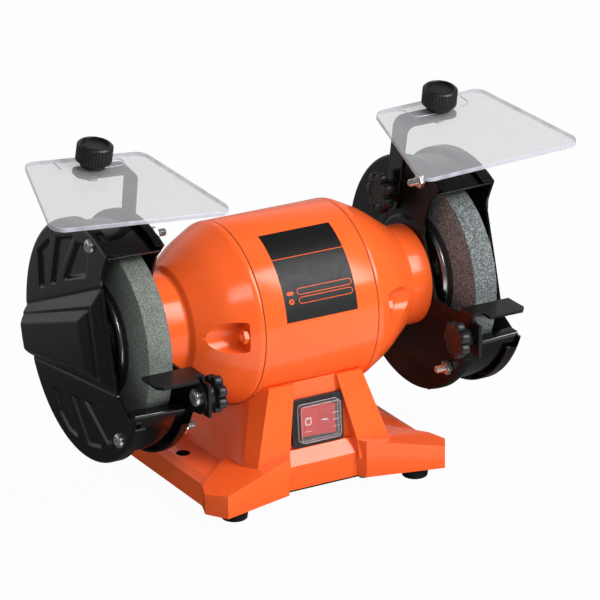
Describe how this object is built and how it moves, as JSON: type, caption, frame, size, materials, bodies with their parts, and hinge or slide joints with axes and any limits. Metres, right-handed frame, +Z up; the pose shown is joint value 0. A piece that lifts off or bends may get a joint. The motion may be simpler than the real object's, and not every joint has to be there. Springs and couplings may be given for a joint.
{
  "type": "bench grinder",
  "caption": "Double-ended bench grinder: motor on a faceted base, a guarded wheel at each end with tool rest and hinged clear eye shield, rocker switch in front.",
  "frame": {"origin": "midway between the two bench bolt holes, on the seat the bolt heads press on", "axes": "+X along the shaft to the operator's right, operator at -Y, +Z up"},
  "size_m": [0.3658, 0.1638, 0.2353],
  "materials": {
    "orange_paint": "semi-gloss orange paint",
    "black_paint": "semi-gloss black paint",
    "zinc_steel": "bright zinc plate",
    "black_plastic": "satin moulded plastic",
    "black_rubber": "matte",
    "red_plastic": "glossy translucent red",
    "clear_boot": "clear flexible plastic",
    "terminal_brass": "plain",
    "capacitor_can": "plain white",
    "lamination_steel": "bare stacked sheet",
    "taped_windings": "varnished tape over copper wire",
    "cast_aluminium": "as cast",
    "bright_steel": "ground",
    "flange_steel": "blackened, turned",
    "blotter_paper": "light grey paper",
    "grey_abrasive": "coarse vitrified grit",
    "clear_plastic": "clear polished sheet"
  },
  "bodies": {
    "stand": {"base_casting": "orange_paint", "motor_shell": "orange_paint", "left_end_bell": "orange_paint", "right_end_bell": "orange_paint", "left_guard_plate": "black_paint", "left_guard_band": "black_paint", "left_guard_cover": "black_paint", "right_guard_plate": "black_paint", "right_guard_band": "black_paint", "right_guard_cover": "black_paint", "bottom_plate": "black_paint", "plate_screws": "zinc_steel", "foot_screws": "zinc_steel", "motor_bolts": "zinc_steel", "tie_rods": "zinc_steel", "tie_rod_nuts": "zinc_steel", "guard_screws": "zinc_steel", "guard_nuts": "zinc_steel", "guard_mount_screws": "zinc_steel", "capacitor_strap": "zinc_steel", "preload_washers": "zinc_steel", "cord_gland": "black_plastic", "switch_housing": "black_plastic", "rubber_feet": "black_rubber", "switch_boot": "clear_boot", "switch_terminals": "terminal_brass", "run_capacitor": "capacitor_can", "stator_core": "lamination_steel", "stator_windings": "taped_windings", "bearing_outer_rings": "bright_steel"},
    "rotor": {"shaft": "bright_steel", "rotor_core": "lamination_steel", "rotor_end_rings": "cast_aluminium", "bearing_inner_rings": "bright_steel", "inner_flanges": "flange_steel", "outer_flanges": "flange_steel", "wheel_blotters": "blotter_paper", "spindle_nuts": "zinc_steel", "left_wheel": "grey_abrasive", "right_wheel": "grey_abrasive"},
    "ball_sets": {"bearing_balls": "bright_steel"},
    "rocker": {"switch_rocker": "red_plastic"},
    "left_rest_clamp": {"left_rest_bolt": "zinc_steel"},
    "left_rest": {"left_tool_rest": "black_paint"},
    "left_rest_grip": {"left_rest_knob": "black_plastic"},
    "left_arm_clamp": {"left_arm_bolt": "zinc_steel"},
    "left_arm": {"left_shield_arm": "black_paint", "left_shield_screw": "zinc_steel"},
    "left_arm_grip": {"left_arm_knob": "black_plastic"},
    "left_shield": {"left_eye_shield": "clear_plastic"},
    "left_shield_grip": {"left_shield_knob": "black_plastic"},
    "right_rest_clamp": {"right_rest_bolt": "zinc_steel"},
    "right_rest": {"right_tool_rest": "black_paint"},
    "right_rest_grip": {"right_rest_knob": "black_plastic"},
    "right_arm_clamp": {"right_arm_bolt": "zinc_steel"},
    "right_arm": {"right_shield_arm": "black_paint", "right_shield_screw": "zinc_steel"},
    "right_arm_grip": {"right_arm_knob": "black_plastic"},
    "right_shield": {"right_eye_shield": "clear_plastic"},
    "right_shield_grip": {"right_shield_knob": "black_plastic"}
  },
  "joints": [
    {"name": "rotor_spin", "type": "hinge", "parent": "stand", "child": "rotor", "pos_m": [0, 0, 0.0885], "axis": [1, 0, 0], "continuous": true},
    {"name": "ball_sets_spin", "type": "hinge", "parent": "stand", "child": "ball_sets", "pos_m": [0, 0, 0.0885], "axis": [1, 0, 0], "continuous": true},
    {"name": "switch_rock", "type": "hinge", "parent": "stand", "child": "rocker", "pos_m": [0, -0.04877, 0.02567], "axis": [0, 0.0706, 0.9975], "range_deg": [0, 16]},
    {"name": "left_rest_tilt", "type": "hinge", "parent": "stand", "child": "left_rest_clamp", "pos_m": [-0.095, -0.0755, 0.0701], "axis": [1, 0, 0], "range_deg": [-4, 30]},
    {"name": "left_rest_slide", "type": "slide", "parent": "left_rest_clamp", "child": "left_rest", "axis": [0, -1, 0], "range_m": [-0.001, 0.003]},
    {"name": "left_rest_knob_turn", "type": "hinge", "parent": "left_rest_clamp", "child": "left_rest_grip", "pos_m": [-0.095, -0.0755, 0.0701], "axis": [1, 0, 0], "continuous": true},
    {"name": "left_arm_swing", "type": "hinge", "parent": "stand", "child": "left_arm_clamp", "pos_m": [-0.095, 0.017, 0.139], "axis": [1, 0, 0], "range_deg": [-30, 22]},
    {"name": "left_arm_slide", "type": "slide", "parent": "left_arm_clamp", "child": "left_arm", "axis": [0, -0.165, 0.9863], "range_m": [-0.0052, 0.0028]},
    {"name": "left_arm_knob_turn", "type": "hinge", "parent": "left_arm_clamp", "child": "left_arm_grip", "pos_m": [-0.095, 0.017, 0.139], "axis": [1, 0, 0], "continuous": true},
    {"name": "left_shield_turn", "type": "hinge", "parent": "left_arm", "child": "left_shield", "pos_m": [-0.12187, 0.00792, 0.19327], "axis": [0.068, -0.1647, 0.984], "range_deg": [-25, 25]},
    {"name": "left_shield_knob_turn", "type": "hinge", "parent": "left_arm", "child": "left_shield_grip", "pos_m": [-0.12187, 0.00792, 0.19327], "axis": [0.068, -0.1647, 0.984], "continuous": true},
    {"name": "right_rest_tilt", "type": "hinge", "parent": "stand", "child": "right_rest_clamp", "pos_m": [0.095, -0.0755, 0.0701], "axis": [1, 0, 0], "range_deg": [-4, 30]},
    {"name": "right_rest_slide", "type": "slide", "parent": "right_rest_clamp", "child": "right_rest", "axis": [0, -1, 0], "range_m": [-0.001, 0.003]},
    {"name": "right_rest_knob_turn", "type": "hinge", "parent": "right_rest_clamp", "child": "right_rest_grip", "pos_m": [0.095, -0.0755, 0.0701], "axis": [1, 0, 0], "continuous": true},
    {"name": "right_arm_swing", "type": "hinge", "parent": "stand", "child": "right_arm_clamp", "pos_m": [0.095, 0.017, 0.139], "axis": [1, 0, 0], "range_deg": [-30, 22]},
    {"name": "right_arm_slide", "type": "slide", "parent": "right_arm_clamp", "child": "right_arm", "axis": [0, -0.1908, 0.9816], "range_m": [-0.0019, 0.0061]},
    {"name": "right_arm_knob_turn", "type": "hinge", "parent": "right_arm_clamp", "child": "right_arm_grip", "pos_m": [0.095, 0.017, 0.139], "axis": [1, 0, 0], "continuous": true},
    {"name": "right_shield_turn", "type": "hinge", "parent": "right_arm", "child": "right_shield", "pos_m": [0.12198, 0.00739, 0.18844], "axis": [-0.0175, -0.1908, 0.9815], "range_deg": [-25, 25]},
    {"name": "right_shield_knob_turn", "type": "hinge", "parent": "right_arm", "child": "right_shield_grip", "pos_m": [0.12198, 0.00739, 0.18844], "axis": [-0.0175, -0.1908, 0.9815], "continuous": true}
  ],
  "couplings": [
    {"joint": "ball_sets_spin", "follows": "rotor_spin", "ratio": 0.381}
  ]
}
